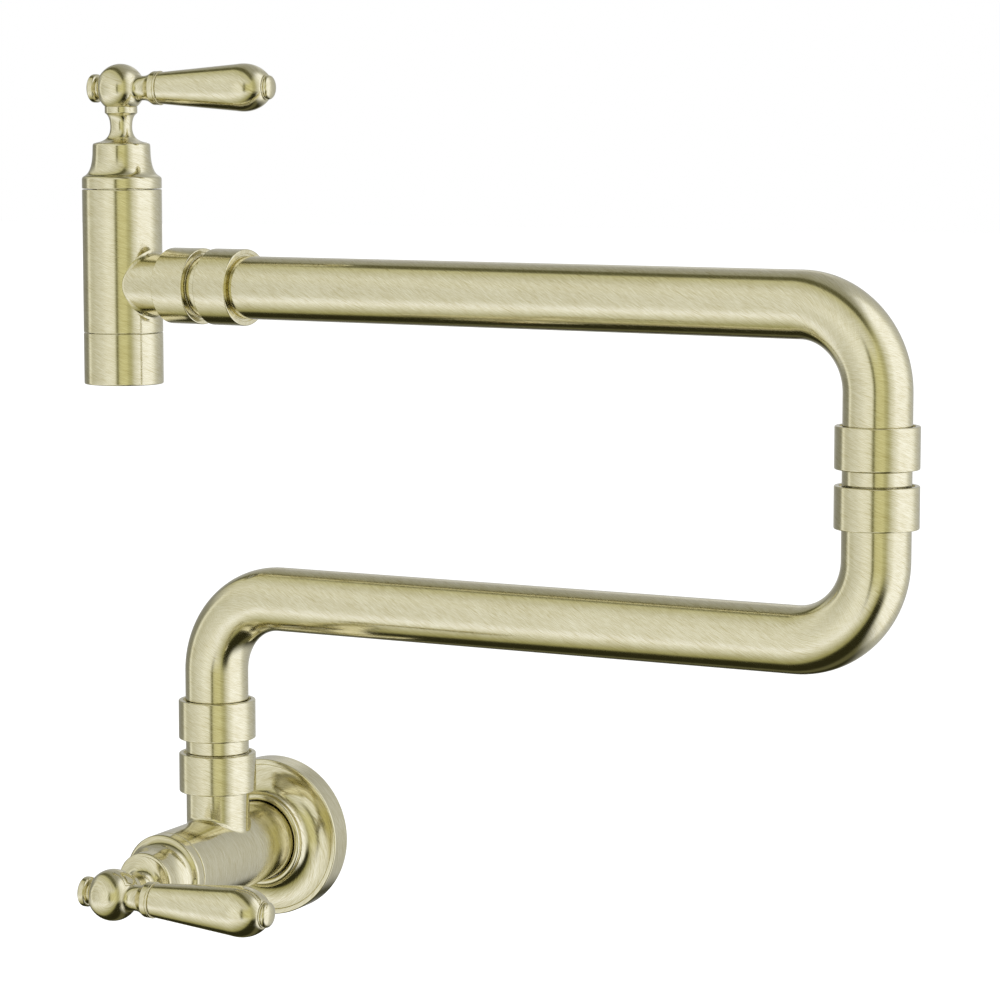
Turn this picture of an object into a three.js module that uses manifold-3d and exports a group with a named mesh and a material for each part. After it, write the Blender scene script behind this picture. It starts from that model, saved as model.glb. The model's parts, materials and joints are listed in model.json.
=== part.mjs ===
// Wall mounted pot filler: a valve on the wall, two swinging arms and a spout head with its own valve.
// Millimetres, +Z up. The origin is the middle of the wall flange's back, on the wall valve's axis;
// +X runs right along the wall and +Y runs into the wall.
import * as THREE from 'three';
import { mergeVertices } from 'three/addons/utils/BufferGeometryUtils.js';
import Module from 'manifold-3d';

const wasm = await Module();
wasm.setup();

// ---------------------------------------------------------------- driving dimensions

// Facets: turned pieces, small turned pieces, and steps round a quarter bend.
const round_segments = 20;
const small_segments = 12;
const bend_steps = 5;

// Clearances: between pieces that meet end to end, round running fits, and round seals.
const seat_gap = 0.3;
const running_gap = 0.3;
const seal_gap = 0.2;

// How far a cutting shape runs past the face that it opens.
const past_face = 1;

// The arms: one bent tube size, and how the arms lie when folded as photographed.
const tube_radius = 12.7;
const tube_wall = 1.5;
const bend_radius = 31;
const leg_drop = 61.3;
const lower_arm_reach = 286;
const upper_arm_reach = 348.5;
const lower_arm_turn = -3.8;
const upper_arm_turn = 172.1;

// The two-collar union that joins stub to tube and tube to tube.
const collar_radius = 15.5;
const collar_length = 15.7;
const collar_gap = 5.9;
const collar_edge = 0.6;
const spigot_bore = 7.5;
const fixed_journal = 13;
const swivel_journal = 17;
const o_ring_section = 1.8;
const o_ring_inset = 6;
const retaining_ring_width = 1.4;
const retaining_ring_depth = 1.3;
const retaining_ring_inset = 13.5;

// Both valves: a barrel, a stub square to it, and a partition with the seat.
const barrel_radius = 16.4;
const barrel_front = 39;
const stub_reach = 45.5;
const chamber_radius = 12;
const seat_depth = 9.5;
const seat_thickness = 3;
const seat_hole = 5.5;
const port_radius = 8;
const seam_groove = 0.5;

// The wall end of the lower valve.
const riser_to_wall = 50;
const barrel_wall_gap = 2;
const nipple_radius = 10.45;
const nipple_hex = 12;
const nipple_length = 42;
const nipple_engagement = 20;
const inlet_washer_thickness = 1.6;
const inlet_way_radius = 8.5;

// The flange that covers the hole in the wall.
const flange_radius = 32.7;
const flange_rim = 10.6;
const flange_rim_edge = 1;
const flange_height = 17.4;
const flange_lip = 2.6;
const flange_land = 3.2;
const flange_bore_gap = 0.45;
const flange_foot = 3.7;
const flange_recess_depth = 6;
const flange_ring_section = 2;
const flange_ring_depth = 4;
const flange_inner_wall = 1.5;

// The spout end of the upper valve.
const head_skirt = 19.8;
const head_spigot_length = 8.2;
const head_spigot_wall = 3.5;
const outlet_length = 21.5;
const outlet_wall = 2.4;
const outlet_rim = 4.4;
const outlet_lip = 2.5;
const aerator_washer_thickness = 1.5;
const aerator_hole_radius = 1.3;
const aerator_hole_pitch = 4.1;

// The bonnet that closes a barrel round the cartridge.
const bonnet_ring_length = 5;
const bonnet_flare_length = 5.4;
const bonnet_shoulder = 1;
const bonnet_cap_radius = 12;
const bonnet_cap_length = 8.6;
const bonnet_cap_edge = 1.1;
const bonnet_cap_top = 2.5;
const bonnet_skirt_length = 8;
const bonnet_skirt_wall = 2.2;
const bonnet_spindle_hole = 4;

// The quarter-turn cartridge.
const housing_radius = 9;
const seat_seal_thickness = 1.6;
const housing_bore = 6.8;
const housing_shoulder_length = 3.7;
const gland_bore = 4.4;
const gland_length = 30;
const seal_ring_width = 3;
const disc_thickness = 2.6;
const disc_port_inner = 1.8;
const disc_port_outer = 4.7;
const disc_port_spread = 72;
const disc_notch_width = 3.4;
const disc_notch_depth = 2.2;
const window_height = 8;
const window_width = 9;
const spindle_radius = 4;
const spindle_tip_radius = 3.1;
const spindle_plate = 2;
const spindle_shoulder = 1.2;
const prong_length = 1.8;
const spindle_seal_inset = 8;

// The lever handle: foot, neck and ball on the spindle, the lever to one side and a button opposite.
const foot_radius = 8.6;
const neck_radius = 4.5;
const neck_flare_share = 0.3;
const neck_waist_share = 0.64;
const neck_top_share = 0.95;
const ring_radius = 6.7;
const ring_thickness = 2.8;
const ball_radius = 10;
const ball_height = 41.4;
const lever_root_radius = 6.3;
const lever_neck_radius = 5;
const lever_neck_length = 5.6;
const lever_waist_share = 0.04;
const lever_rise_share = 0.3;
const lever_collar_radius = 7;
const lever_collar_length = 2.9;
const grip_length = 47.7;
const grip_root_radius = 6.6;
const grip_swell_radius = 9.8;
const grip_round_length = 9.5;
const grip_rounding = [[0.35, 0.93], [0.66, 0.79]];
const grip_end_radius = 5.5;
const finial_radius = 5;
const finial_length = 3.3;
const rod_radius = 2.6;
const rod_clearance = 0.3;
const rod_depth = 9;
const tail_length = 3.7;
const tail_neck_radius = 3.9;
const tail_radius = 5.85;
const tail_drum_shares = [0.05, 0.38, 0.73, 0.92];
const tail_crown_share = 0.75;
const tail_seat_depth = 1.1;
const set_screw_radius = 2.4;
const set_screw_length = 3.9;
const set_screw_hex = 2.5;

// ---------------------------------------------------------------- finishes

const brushed_brass = new THREE.MeshStandardMaterial({ color: 0xc8bf94, roughness: 0.34, metalness: 1 });
const plain_brass = new THREE.MeshStandardMaterial({ color: 0xc6a257, roughness: 0.4, metalness: 1 });
const spring_steel = new THREE.MeshStandardMaterial({ color: 0x9a9ca0, roughness: 0.35, metalness: 1 });
const black_rubber = new THREE.MeshStandardMaterial({ color: 0x1b1b1d, roughness: 0.75, metalness: 0 });
const white_ceramic = new THREE.MeshStandardMaterial({ color: 0xe9e7e0, roughness: 0.25, metalness: 0 });
const white_plastic = new THREE.MeshStandardMaterial({ color: 0xdcdcd8, roughness: 0.5, metalness: 0 });

// ---------------------------------------------------------------- shape helpers

// A turned solid about +Z. The profile lists [radius, height] with the metal on its left; a profile
// that doesn't run from axis to axis closes on itself.
function turned(profile, segments = round_segments) {
  const corners = profile.map(([radius, height]) => new THREE.Vector2(radius, height));
  const stands_apart = (corner, index) => index === 0 || corner.distanceTo(corners[index - 1]) > 1e-6;
  const points = corners.filter(stands_apart);
  const runs_from_axis = points[0].x === 0 && points.at(-1).x === 0;
  if (!runs_from_axis) points.push(points[0].clone());
  return new THREE.LatheGeometry(points, segments).rotateX(Math.PI / 2);
}

// A plain or hollow cylinder about +Z between two heights.
function sleeve(outer, inner, low, high, segments = round_segments) {
  if (inner === 0) return turned([[0, low], [outer, low], [outer, high], [0, high]], segments);
  return turned([[inner, low], [outer, low], [outer, high], [inner, high]], segments);
}

// A seal ring of round section, six-sided, that fills the space between two radii.
function seal_ring(inner, outer, middle_height, segments = round_segments) {
  const section = (outer - inner) / 2;
  const centre = (outer + inner) / 2;
  return turned(arc(centre, middle_height, section, section, 0, 300, 5), segments);
}

// Points of an elliptical arc in a profile, from one angle in degrees to another.
function arc(centre_radius, centre_height, radial, axial, start, end, steps) {
  const points = [];
  for (let step = 0; step <= steps; step += 1) {
    const angle = THREE.MathUtils.degToRad(start + ((end - start) * step) / steps);
    points.push([centre_radius + radial * Math.cos(angle), centre_height + axial * Math.sin(angle)]);
  }
  return points;
}

// A smooth curve through profile points.
function flowing(points, steps) {
  const curve = new THREE.SplineCurve(points.map(([radius, height]) => new THREE.Vector2(radius, height)));
  return curve.getPoints(steps).map((point) => [point.x, point.y]);
}

// A prism of an outline with holes, from one height to another.
function prism(outline, holes, low, high) {
  const shape = new THREE.Shape(outline);
  holes.forEach((hole) => shape.holes.push(new THREE.Path(hole)));
  return new THREE.ExtrudeGeometry(shape, { depth: high - low, bevelEnabled: false }).translate(0, 0, low);
}

// The corners of a regular polygon, or of a circle when it has many sides.
function polygon(radius, sides, turn = 0, centre = [0, 0]) {
  const corners = [];
  for (let side = 0; side < sides; side += 1) {
    const angle = turn + (2 * Math.PI * side) / sides;
    const corner = new THREE.Vector2(centre[0], centre[1]);
    corner.x += radius * Math.cos(angle);
    corner.y += radius * Math.sin(angle);
    corners.push(corner);
  }
  return corners;
}

// The radius to the corners of a hexagon measured across its flats.
const hex_corner = (across_flats) => across_flats / Math.sqrt(3);

function to_solid(geometry) {
  const bare = geometry.clone();
  bare.deleteAttribute('normal');
  bare.deleteAttribute('uv');
  const welded = mergeVertices(bare, 1e-4);
  const corners = [];
  for (let first = 0; first < welded.index.count; first += 3) {
    const [a, b, c] = [0, 1, 2].map((offset) => welded.index.getX(first + offset));
    if (a !== b && b !== c && c !== a) corners.push(a, b, c);
  }
  const vertProperties = new Float32Array(welded.attributes.position.array);
  const triVerts = new Uint32Array(corners);
  return new wasm.Manifold(new wasm.Mesh({ numProp: 3, vertProperties, triVerts }));
}

// One solid from pieces that are joined and pieces that are cut away.
function shaped(joined, cut_away) {
  let solid = to_solid(joined[0]);
  joined.slice(1).forEach((geometry) => { solid = solid.add(to_solid(geometry)); });
  cut_away.forEach((geometry) => { solid = solid.subtract(to_solid(geometry)); });
  const { vertProperties, triVerts } = solid.getMesh();
  const geometry = new THREE.BufferGeometry();
  geometry.setAttribute('position', new THREE.BufferAttribute(new Float32Array(vertProperties), 3));
  geometry.setIndex([...triVerts]);
  geometry.computeVertexNormals();
  return geometry;
}

function named(name, geometry, material) {
  const mesh = new THREE.Mesh(geometry, material);
  mesh.name = name;
  return mesh;
}

// A path of straight runs and round quarter bends that only has stations where its direction changes.
class BentPath extends THREE.Curve {
  constructor(corners, radius) {
    super();
    this.stations = [];
    corners.forEach((corner, index) => {
      const before = corners[index - 1];
      const after = corners[index + 1];
      if (!before) this.add_station(corner, after.clone().sub(corner));
      else if (!after) this.add_station(corner, corner.clone().sub(before));
      else this.add_bend(corner, before, after, radius);
    });
  }

  add_station(point, direction) {
    this.stations.push({ point: point.clone(), direction: direction.clone().normalize() });
  }

  add_bend(corner, before, after, radius) {
    const arriving = corner.clone().sub(before).normalize();
    const leaving = after.clone().sub(corner).normalize();
    const centre = corner.clone().addScaledVector(arriving, -radius).addScaledVector(leaving, radius);
    for (let step = 0; step <= bend_steps; step += 1) {
      const angle = (Math.PI / 2) * (step / bend_steps);
      const point = centre.clone();
      point.addScaledVector(leaving, -radius * Math.cos(angle));
      point.addScaledVector(arriving, radius * Math.sin(angle));
      const direction = arriving.clone().multiplyScalar(Math.cos(angle));
      direction.addScaledVector(leaving, Math.sin(angle));
      this.add_station(point, direction);
    }
  }

  station_at(share) {
    return this.stations[Math.round(share * (this.stations.length - 1))];
  }

  getPointAt(share, target = new THREE.Vector3()) {
    return target.copy(this.station_at(share).point);
  }

  getTangentAt(share, target = new THREE.Vector3()) {
    return target.copy(this.station_at(share).direction);
  }
}

// ---------------------------------------------------------------- sizes that follow

const tube_bore = tube_radius - tube_wall;
const half_gap = collar_gap / 2;
const journal_radius = tube_bore - running_gap;
const head_spigot_radius = barrel_radius - outlet_wall - running_gap;
const outlet_bore = head_spigot_radius - head_spigot_wall;
const outlet_mouth_radius = barrel_radius - outlet_rim;
const groove_floor = journal_radius - o_ring_section + seal_gap;
const lower_arm_height = stub_reach + leg_drop;
const barrel_back = -(riser_to_wall - barrel_wall_gap);
const seat_floor = -(seat_depth + seat_thickness);
const bonnet_top = barrel_front + bonnet_ring_length + bonnet_flare_length + bonnet_cap_length;
const skirt_end = barrel_front - bonnet_skirt_length;
const housing_base = -seat_depth + seat_seal_thickness;
const housing_top = bonnet_top - bonnet_cap_top - seat_gap;
const gland_start = housing_top - gland_length;
const ball_centre = barrel_front + ball_height;

// ---------------------------------------------------------------- union between two tubes

// The bore in the tube end or stub that a union's journal runs in, with the groove that the
// retaining ring springs into. It opens towards -Z and its mouth is at the given height.
function swivel_groove(mouth) {
  const start = mouth + retaining_ring_inset;
  return sleeve(tube_bore + retaining_ring_depth / 2, tube_bore - running_gap * 2,
    start - seal_gap, start + retaining_ring_width + seal_gap);
}

// A collar round a tube end, flush with it. Both edges are eased.
function collar(name, low) {
  const high = low + collar_length;
  const bore = tube_radius + running_gap;
  const profile = [
    [bore, low],
    [collar_radius - collar_edge, low],
    [collar_radius, low + collar_edge],
    [collar_radius, high - collar_edge],
    [collar_radius - collar_edge, high],
    [bore, high],
  ];
  return named(name, turned(profile), brushed_brass);
}

// The union's pieces about +Z with its middle at the origin: the fixed side is below, the side that
// swivels is above. The spigot's band is the neck that shows between the collars; its lower journal
// is fast in the fixed side, its upper one carries the seal and the ring that holds the swivel side.
function union_pieces(prefix) {
  const band = half_gap - seat_gap;
  const low_end = -half_gap - fixed_journal;
  const high_end = half_gap + swivel_journal;
  const groove = half_gap + o_ring_inset;
  const ring_low = half_gap + retaining_ring_inset;
  const ring_high = ring_low + retaining_ring_width;
  const ring_floor = journal_radius - retaining_ring_depth / 2 - seal_gap;
  const half_section = o_ring_section / 2 + seal_gap;
  const spigot_profile = [
    [spigot_bore, low_end],
    [journal_radius, low_end],
    [journal_radius, -band],
    [tube_radius, -band],
    [tube_radius, band],
    [journal_radius, band],
    [journal_radius, groove - half_section],
    [groove_floor, groove - half_section],
    [groove_floor, groove + half_section],
    [journal_radius, groove + half_section],
    [journal_radius, ring_low - seal_gap],
    [ring_floor, ring_low - seal_gap],
    [ring_floor, ring_high + seal_gap],
    [journal_radius, ring_high + seal_gap],
    [journal_radius, high_end],
    [spigot_bore, high_end],
  ];
  const seal_outer = tube_bore - seal_gap;
  const seal_inner = groove_floor + seal_gap;
  const ring_outer = tube_bore + retaining_ring_depth / 2 - seal_gap;
  const ring = sleeve(ring_outer, ring_floor + seal_gap, ring_low, ring_high);
  return {
    fixed: [
      collar(`${prefix}_fixed_collar`, -half_gap - collar_length),
      named(`${prefix}_spigot`, turned(spigot_profile), brushed_brass),
      named(`${prefix}_o_ring`, seal_ring(seal_inner, seal_outer, groove), black_rubber),
      named(`${prefix}_retaining_ring`, ring, spring_steel),
    ],
    swivel: [collar(`${prefix}_swivel_collar`, half_gap)],
  };
}

// ---------------------------------------------------------------- barrels of the two valves

// The stub, square to the barrel along +X, and the way through it to the cartridge chamber.
// The journal in its end needs room to the given depth.
function stub_outside() {
  return sleeve(tube_radius, 0, 0, stub_reach - half_gap).rotateY(Math.PI / 2);
}

function stub_way(journal) {
  const end = stub_reach - half_gap;
  const bore_floor = end - journal - running_gap;
  const profile = [
    [0, 0],
    [port_radius, 0],
    [port_radius, bore_floor],
    [tube_bore, bore_floor],
    [tube_bore, end + past_face],
    [0, end + past_face],
  ];
  return turned(profile).rotateY(Math.PI / 2);
}

// The chamber and seat that both barrels have, then the way on towards the back.
function barrel_way(way_beyond) {
  const chamber = [
    [seat_hole, seat_floor],
    [seat_hole, -seat_depth],
    [chamber_radius, -seat_depth],
    [chamber_radius, barrel_front + past_face],
    [0, barrel_front + past_face],
  ];
  return turned([...way_beyond, ...chamber]);
}

function wall_valve_body() {
  const washer_ledge = barrel_back + nipple_engagement + inlet_washer_thickness + 2 * seat_gap;
  const outside = turned([
    [0, barrel_back],
    [barrel_radius, barrel_back],
    [barrel_radius, barrel_front - seam_groove],
    [barrel_radius - seam_groove, barrel_front],
    [0, barrel_front],
  ]);
  const inlet_bore = nipple_radius + running_gap;
  const way = barrel_way([
    [0, barrel_back - past_face],
    [inlet_bore, barrel_back - past_face],
    [inlet_bore, washer_ledge],
    [inlet_way_radius, washer_ledge],
    [inlet_way_radius, seat_floor],
  ]);
  const cuts = [way, stub_way(fixed_journal)];
  return named('valve_body', shaped([outside, stub_outside()], cuts), brushed_brass);
}

function spout_head_body() {
  const spigot_end = -head_skirt - head_spigot_length;
  const outside = turned([
    [0, spigot_end],
    [head_spigot_radius, spigot_end],
    [head_spigot_radius, -head_skirt],
    [barrel_radius, -head_skirt],
    [barrel_radius, barrel_front - seam_groove],
    [barrel_radius - seam_groove, barrel_front],
    [0, barrel_front],
  ]);
  const way = barrel_way([
    [0, spigot_end - past_face],
    [outlet_bore, spigot_end - past_face],
    [outlet_bore, seat_floor],
  ]);
  const groove = swivel_groove(0).rotateY(-Math.PI / 2).translate(stub_reach - half_gap, 0, 0);
  const cuts = [way, stub_way(swivel_journal), groove];
  return named('head_body', shaped([outside, stub_outside()], cuts), brushed_brass);
}

// ---------------------------------------------------------------- bonnet and cartridge

function bonnet(prefix) {
  const skirt_radius = chamber_radius - running_gap;
  const cavity_radius = skirt_radius - bonnet_skirt_wall;
  const ring_top = barrel_front + bonnet_ring_length;
  const flare_top = ring_top + bonnet_flare_length;
  const flare_middle = barrel_radius - bonnet_shoulder;
  const flare = arc(flare_middle, flare_top, bonnet_cap_radius - flare_middle,
    bonnet_shoulder - bonnet_flare_length, 90, 0, 3);
  const profile = [
    [cavity_radius, skirt_end],
    [skirt_radius, skirt_end],
    [skirt_radius, barrel_front + seat_gap],
    [barrel_radius - seam_groove, barrel_front + seat_gap],
    [barrel_radius, barrel_front + seat_gap + seam_groove],
    [barrel_radius, ring_top],
    ...flare,
    [bonnet_cap_radius, bonnet_top - bonnet_cap_edge],
    [bonnet_cap_radius - bonnet_cap_edge, bonnet_top],
    [bonnet_spindle_hole, bonnet_top],
    [bonnet_spindle_hole, bonnet_top - bonnet_cap_top],
    [cavity_radius, bonnet_top - bonnet_cap_top],
  ];
  return named(`${prefix}_bonnet`, turned(profile), brushed_brass);
}

// The housing stands on the seat seal, is clamped by the bonnet's skirt at its shoulder, and has two
// side windows above the discs.
function cartridge_housing(prefix) {
  const shoulder_top = skirt_end - seat_gap;
  const profile = [
    [housing_bore, housing_base],
    [housing_radius, housing_base],
    [housing_radius, shoulder_top - housing_shoulder_length],
    [chamber_radius - running_gap, shoulder_top - housing_shoulder_length],
    [chamber_radius - running_gap, shoulder_top],
    [housing_radius, shoulder_top],
    [housing_radius, housing_top],
    [gland_bore, housing_top],
    [gland_bore, gland_start],
    [housing_bore, gland_start],
  ];
  const window_low = housing_base + 2 * disc_thickness + spindle_plate + 3 * seat_gap;
  const window = new THREE.BoxGeometry(4 * housing_radius, window_width, window_height);
  window.translate(0, 0, window_low + window_height / 2);
  return named(`${prefix}_cartridge_housing`, shaped([turned(profile)], [window]), plain_brass);
}

// A ceramic disc with two ports, a quarter turn apart from those of the other disc. The moving disc
// has a notch at each side for the spindle's prongs.
function ceramic_disc(name, low, port_turn, notched) {
  const ports = [0, Math.PI].map((half_turn) => {
    const corners = [];
    const middle = port_turn + half_turn;
    const outline = [
      [disc_port_inner, -1],
      [disc_port_outer, -1],
      [disc_port_outer, 0],
      [disc_port_outer, 1],
      [disc_port_inner, 1],
    ];
    outline.forEach(([radius, side]) => {
      const angle = middle + (side * THREE.MathUtils.degToRad(disc_port_spread)) / 2;
      corners.push(new THREE.Vector2(radius * Math.cos(angle), radius * Math.sin(angle)));
    });
    return corners;
  });
  const disc = prism(polygon(housing_bore - running_gap, small_segments), ports, low, low + disc_thickness);
  if (!notched) return named(name, disc, white_ceramic);
  const notches = [-1, 1].map((side) => {
    const notch = new THREE.BoxGeometry(disc_notch_depth * 2, disc_notch_width, disc_thickness * 3);
    return notch.translate(side * housing_bore, 0, low);
  });
  return named(name, shaped([disc], notches), white_ceramic);
}

// Spindle: plate with two prongs over the moving disc, thrust shoulder under the gland, shaft with
// its seal groove, and the slimmer tip that the handle sits on.
function spindle_pieces(prefix, plate_low) {
  const shoulder_top = gland_start - seat_gap;
  const groove_middle = housing_top - spindle_seal_inset;
  const groove_half = o_ring_section / 2 + seal_gap;
  const groove_bottom = spindle_radius - o_ring_section + 2 * seal_gap;
  const profile = [
    [0, plate_low],
    [housing_bore - running_gap, plate_low],
    [housing_bore - running_gap, plate_low + spindle_plate],
    [spindle_radius, plate_low + spindle_plate],
    [spindle_radius, shoulder_top - spindle_shoulder],
    [housing_bore - running_gap, shoulder_top - spindle_shoulder],
    [housing_bore - running_gap, shoulder_top],
    [spindle_radius, shoulder_top],
    [spindle_radius, groove_middle - groove_half],
    [groove_bottom, groove_middle - groove_half],
    [groove_bottom, groove_middle + groove_half],
    [spindle_radius, groove_middle + groove_half],
    [spindle_radius, housing_top - seat_gap],
    [spindle_tip_radius, housing_top - seat_gap],
    [spindle_tip_radius, ball_centre + set_screw_radius],
    [0, ball_centre + set_screw_radius],
  ];
  const prong_inner = housing_bore - disc_notch_depth + running_gap;
  const prong_outer = housing_bore - 2 * running_gap;
  const prong_root = spindle_plate / 2;
  const prong_width = disc_notch_width - 2 * running_gap;
  const prong_middle = plate_low + (prong_root - prong_length) / 2;
  const prongs = [-1, 1].map((side) => {
    const prong = new THREE.BoxGeometry(prong_outer - prong_inner, prong_width, prong_length + prong_root);
    return prong.translate((side * (prong_outer + prong_inner)) / 2, 0, prong_middle);
  });
  const seal = seal_ring(groove_bottom + seal_gap, gland_bore - seal_gap, groove_middle, small_segments);
  return [
    named(`${prefix}_spindle`, shaped([turned(profile, small_segments), ...prongs], []), plain_brass),
    named(`${prefix}_spindle_o_ring`, seal, black_rubber),
  ];
}

// ---------------------------------------------------------------- lever handle

// Hub: foot, waisted neck, ring and ball about the spindle, with the lever's neck and collar to the
// side along +X. It is bored for the spindle, the lever's rod, and the set screw behind the button.
function handle_hub(prefix) {
  const foot = bonnet_top + seat_gap;
  const ring_top = ball_centre - Math.sqrt(ball_radius ** 2 - ring_radius ** 2);
  const ring_low = ring_top - ring_thickness;
  const neck_span = ring_low - foot;
  const neck = flowing([
    [foot_radius, foot],
    [(foot_radius + 2 * neck_radius) / 3, foot + neck_span * neck_flare_share],
    [neck_radius, foot + neck_span * neck_waist_share],
    [(ring_radius + neck_radius) / 2, foot + neck_span * neck_top_share],
  ], 5);
  const ball_start = -THREE.MathUtils.radToDeg(Math.acos(ring_radius / ball_radius));
  const ball = arc(0, ball_centre, ball_radius, ball_radius, ball_start, 90, 7);
  ball[ball.length - 1] = [0, ball_centre + ball_radius];
  const stem = turned([[0, foot], ...neck, [ring_radius, ring_low], ...ball], small_segments + 4);

  const collar_start = ball_radius + lever_neck_length;
  const collar_end = collar_start + lever_collar_length;
  const lever_root = Math.sqrt(ball_radius ** 2 - lever_root_radius ** 2);
  const lever_neck = flowing([
    [lever_root_radius, lever_root],
    [lever_neck_radius, ball_radius + lever_neck_length * lever_waist_share],
    [(lever_collar_radius + lever_neck_radius) / 2, collar_start - lever_neck_length * lever_rise_share],
  ], 4);
  const arm = turned([[0, 0], [lever_root_radius, 0], ...lever_neck, [lever_collar_radius, collar_start],
    [lever_collar_radius, collar_end], [0, collar_end]], small_segments);

  const spindle_hole = spindle_tip_radius + running_gap;
  const spindle_top = ball_centre + set_screw_radius + seat_gap;
  const rod_hole = rod_radius + rod_clearance;
  const screw_hole = set_screw_radius + running_gap;
  const tail_face = ball_radius - tail_seat_depth;
  const rod_floor = collar_end - rod_depth - seat_gap;
  const tail_hole = tail_neck_radius + running_gap;
  const cuts = [
    sleeve(spindle_hole, 0, foot - past_face, spindle_top, small_segments),
    along_lever(sleeve(rod_hole, 0, rod_floor, collar_end + past_face, small_segments), 1),
    along_lever(sleeve(screw_hole, 0, 0, tail_face + past_face, small_segments), -1),
    along_lever(sleeve(tail_hole, 0, tail_face, ball_radius + past_face, small_segments), -1),
  ];
  return named(`${prefix}_handle_hub`, shaped([stem, along_lever(arm, 1)], cuts), brushed_brass);
}

// Moves a shape built about +Z from the ball's centre onto the lever's line, or opposite to it.
function along_lever(geometry, side) {
  return geometry.rotateY((side * Math.PI) / 2).translate(0, 0, ball_centre);
}

function lever_pieces(prefix) {
  const grip_start = ball_radius + lever_neck_length + lever_collar_length + seat_gap;
  const grip_end = grip_start + grip_length;
  const swell = grip_end - grip_round_length;
  const tip = grip_end + finial_length;
  const rod_hole = rod_radius + rod_clearance;
  const shoulders = grip_rounding.map(([along, across]) => [
    grip_swell_radius * across,
    swell + grip_round_length * along,
  ]);
  const rounding = flowing([[grip_swell_radius, swell], ...shoulders, [grip_end_radius, grip_end]], 4);
  const root = [[rod_hole, grip_start], [grip_root_radius, grip_start]];
  const grip = turned([...root, ...rounding, [rod_hole, grip_end]], small_segments + 4);
  const dome = arc(0, grip_end + seat_gap, finial_radius, finial_length - seat_gap, 0, 90, 4);
  dome[dome.length - 1] = [0, tip];
  const socket_floor = grip_end + finial_length / 2;
  const socket = [[0, socket_floor], [rod_hole, socket_floor], [rod_hole, grip_end + seat_gap]];
  const finial = turned([...socket, ...dome], small_segments);
  const rod_start = grip_start - seat_gap - rod_depth;
  const rod = sleeve(rod_radius, 0, rod_start, socket_floor - seat_gap, small_segments);
  return [
    named(`${prefix}_lever_rod`, along_lever(rod, 1), plain_brass),
    named(`${prefix}_lever_grip`, along_lever(grip, 1), brushed_brass),
    named(`${prefix}_lever_finial`, along_lever(finial, 1), brushed_brass),
  ];
}

function tail_pieces(prefix) {
  const screw_start = spindle_tip_radius + seat_gap;
  const screw_end = screw_start + set_screw_length;
  const socket_outline = polygon(hex_corner(set_screw_hex), 6);
  const socket = prism(socket_outline, [], screw_end - set_screw_length / 2, screw_end + past_face);
  const screw = shaped([sleeve(set_screw_radius, 0, screw_start, screw_end, small_segments)], [socket]);
  const seat = ball_radius - tail_seat_depth + seat_gap;
  const end = ball_radius + tail_length;
  const reach_of = (share) => ball_radius + tail_length * share;
  const [neck_end, drum_start, drum_end, crown] = tail_drum_shares.map(reach_of);
  const button = turned([
    [0, screw_end + seat_gap],
    [set_screw_radius, screw_end + seat_gap],
    [set_screw_radius, seat],
    [tail_neck_radius, seat],
    [tail_neck_radius, neck_end],
    [tail_radius, drum_start],
    [tail_radius, drum_end],
    [tail_radius * tail_crown_share, crown],
    [0, end],
  ], small_segments);
  return [
    named(`${prefix}_set_screw`, along_lever(screw, -1), spring_steel),
    named(`${prefix}_tail_button`, along_lever(button, -1), brushed_brass),
  ];
}

// Everything that a barrel carries, about the barrel's axis: bonnet, cartridge and handle. The lever
// stands at its own angle to the stub, and there the discs' ports are a quarter turn apart: shut.
function valve_trim(prefix, lever_turn) {
  const fixed_low = housing_base;
  const moving_low = fixed_low + disc_thickness + seat_gap;
  const plate_low = moving_low + disc_thickness + seat_gap;
  const seal = sleeve(housing_radius - running_gap, housing_radius - running_gap - seal_ring_width,
    -seat_depth + seal_gap, housing_base - seal_gap);
  const fixed_disc = ceramic_disc(`${prefix}_fixed_disc`, fixed_low, 0, false);
  fixed_disc.rotation.z = THREE.MathUtils.degToRad(lever_turn);
  const trim = new THREE.Group();
  trim.add(
    bonnet(prefix),
    cartridge_housing(prefix),
    named(`${prefix}_seat_seal`, seal, black_rubber),
    fixed_disc,
  );
  const turning = new THREE.Group();
  turning.rotation.z = THREE.MathUtils.degToRad(lever_turn);
  turning.add(
    ceramic_disc(`${prefix}_moving_disc`, moving_low, Math.PI / 2, true),
    ...spindle_pieces(prefix, plate_low),
    handle_hub(prefix),
    ...tail_pieces(prefix),
    ...lever_pieces(prefix),
  );
  trim.add(turning);
  return trim;
}

// ---------------------------------------------------------------- wall end

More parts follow.
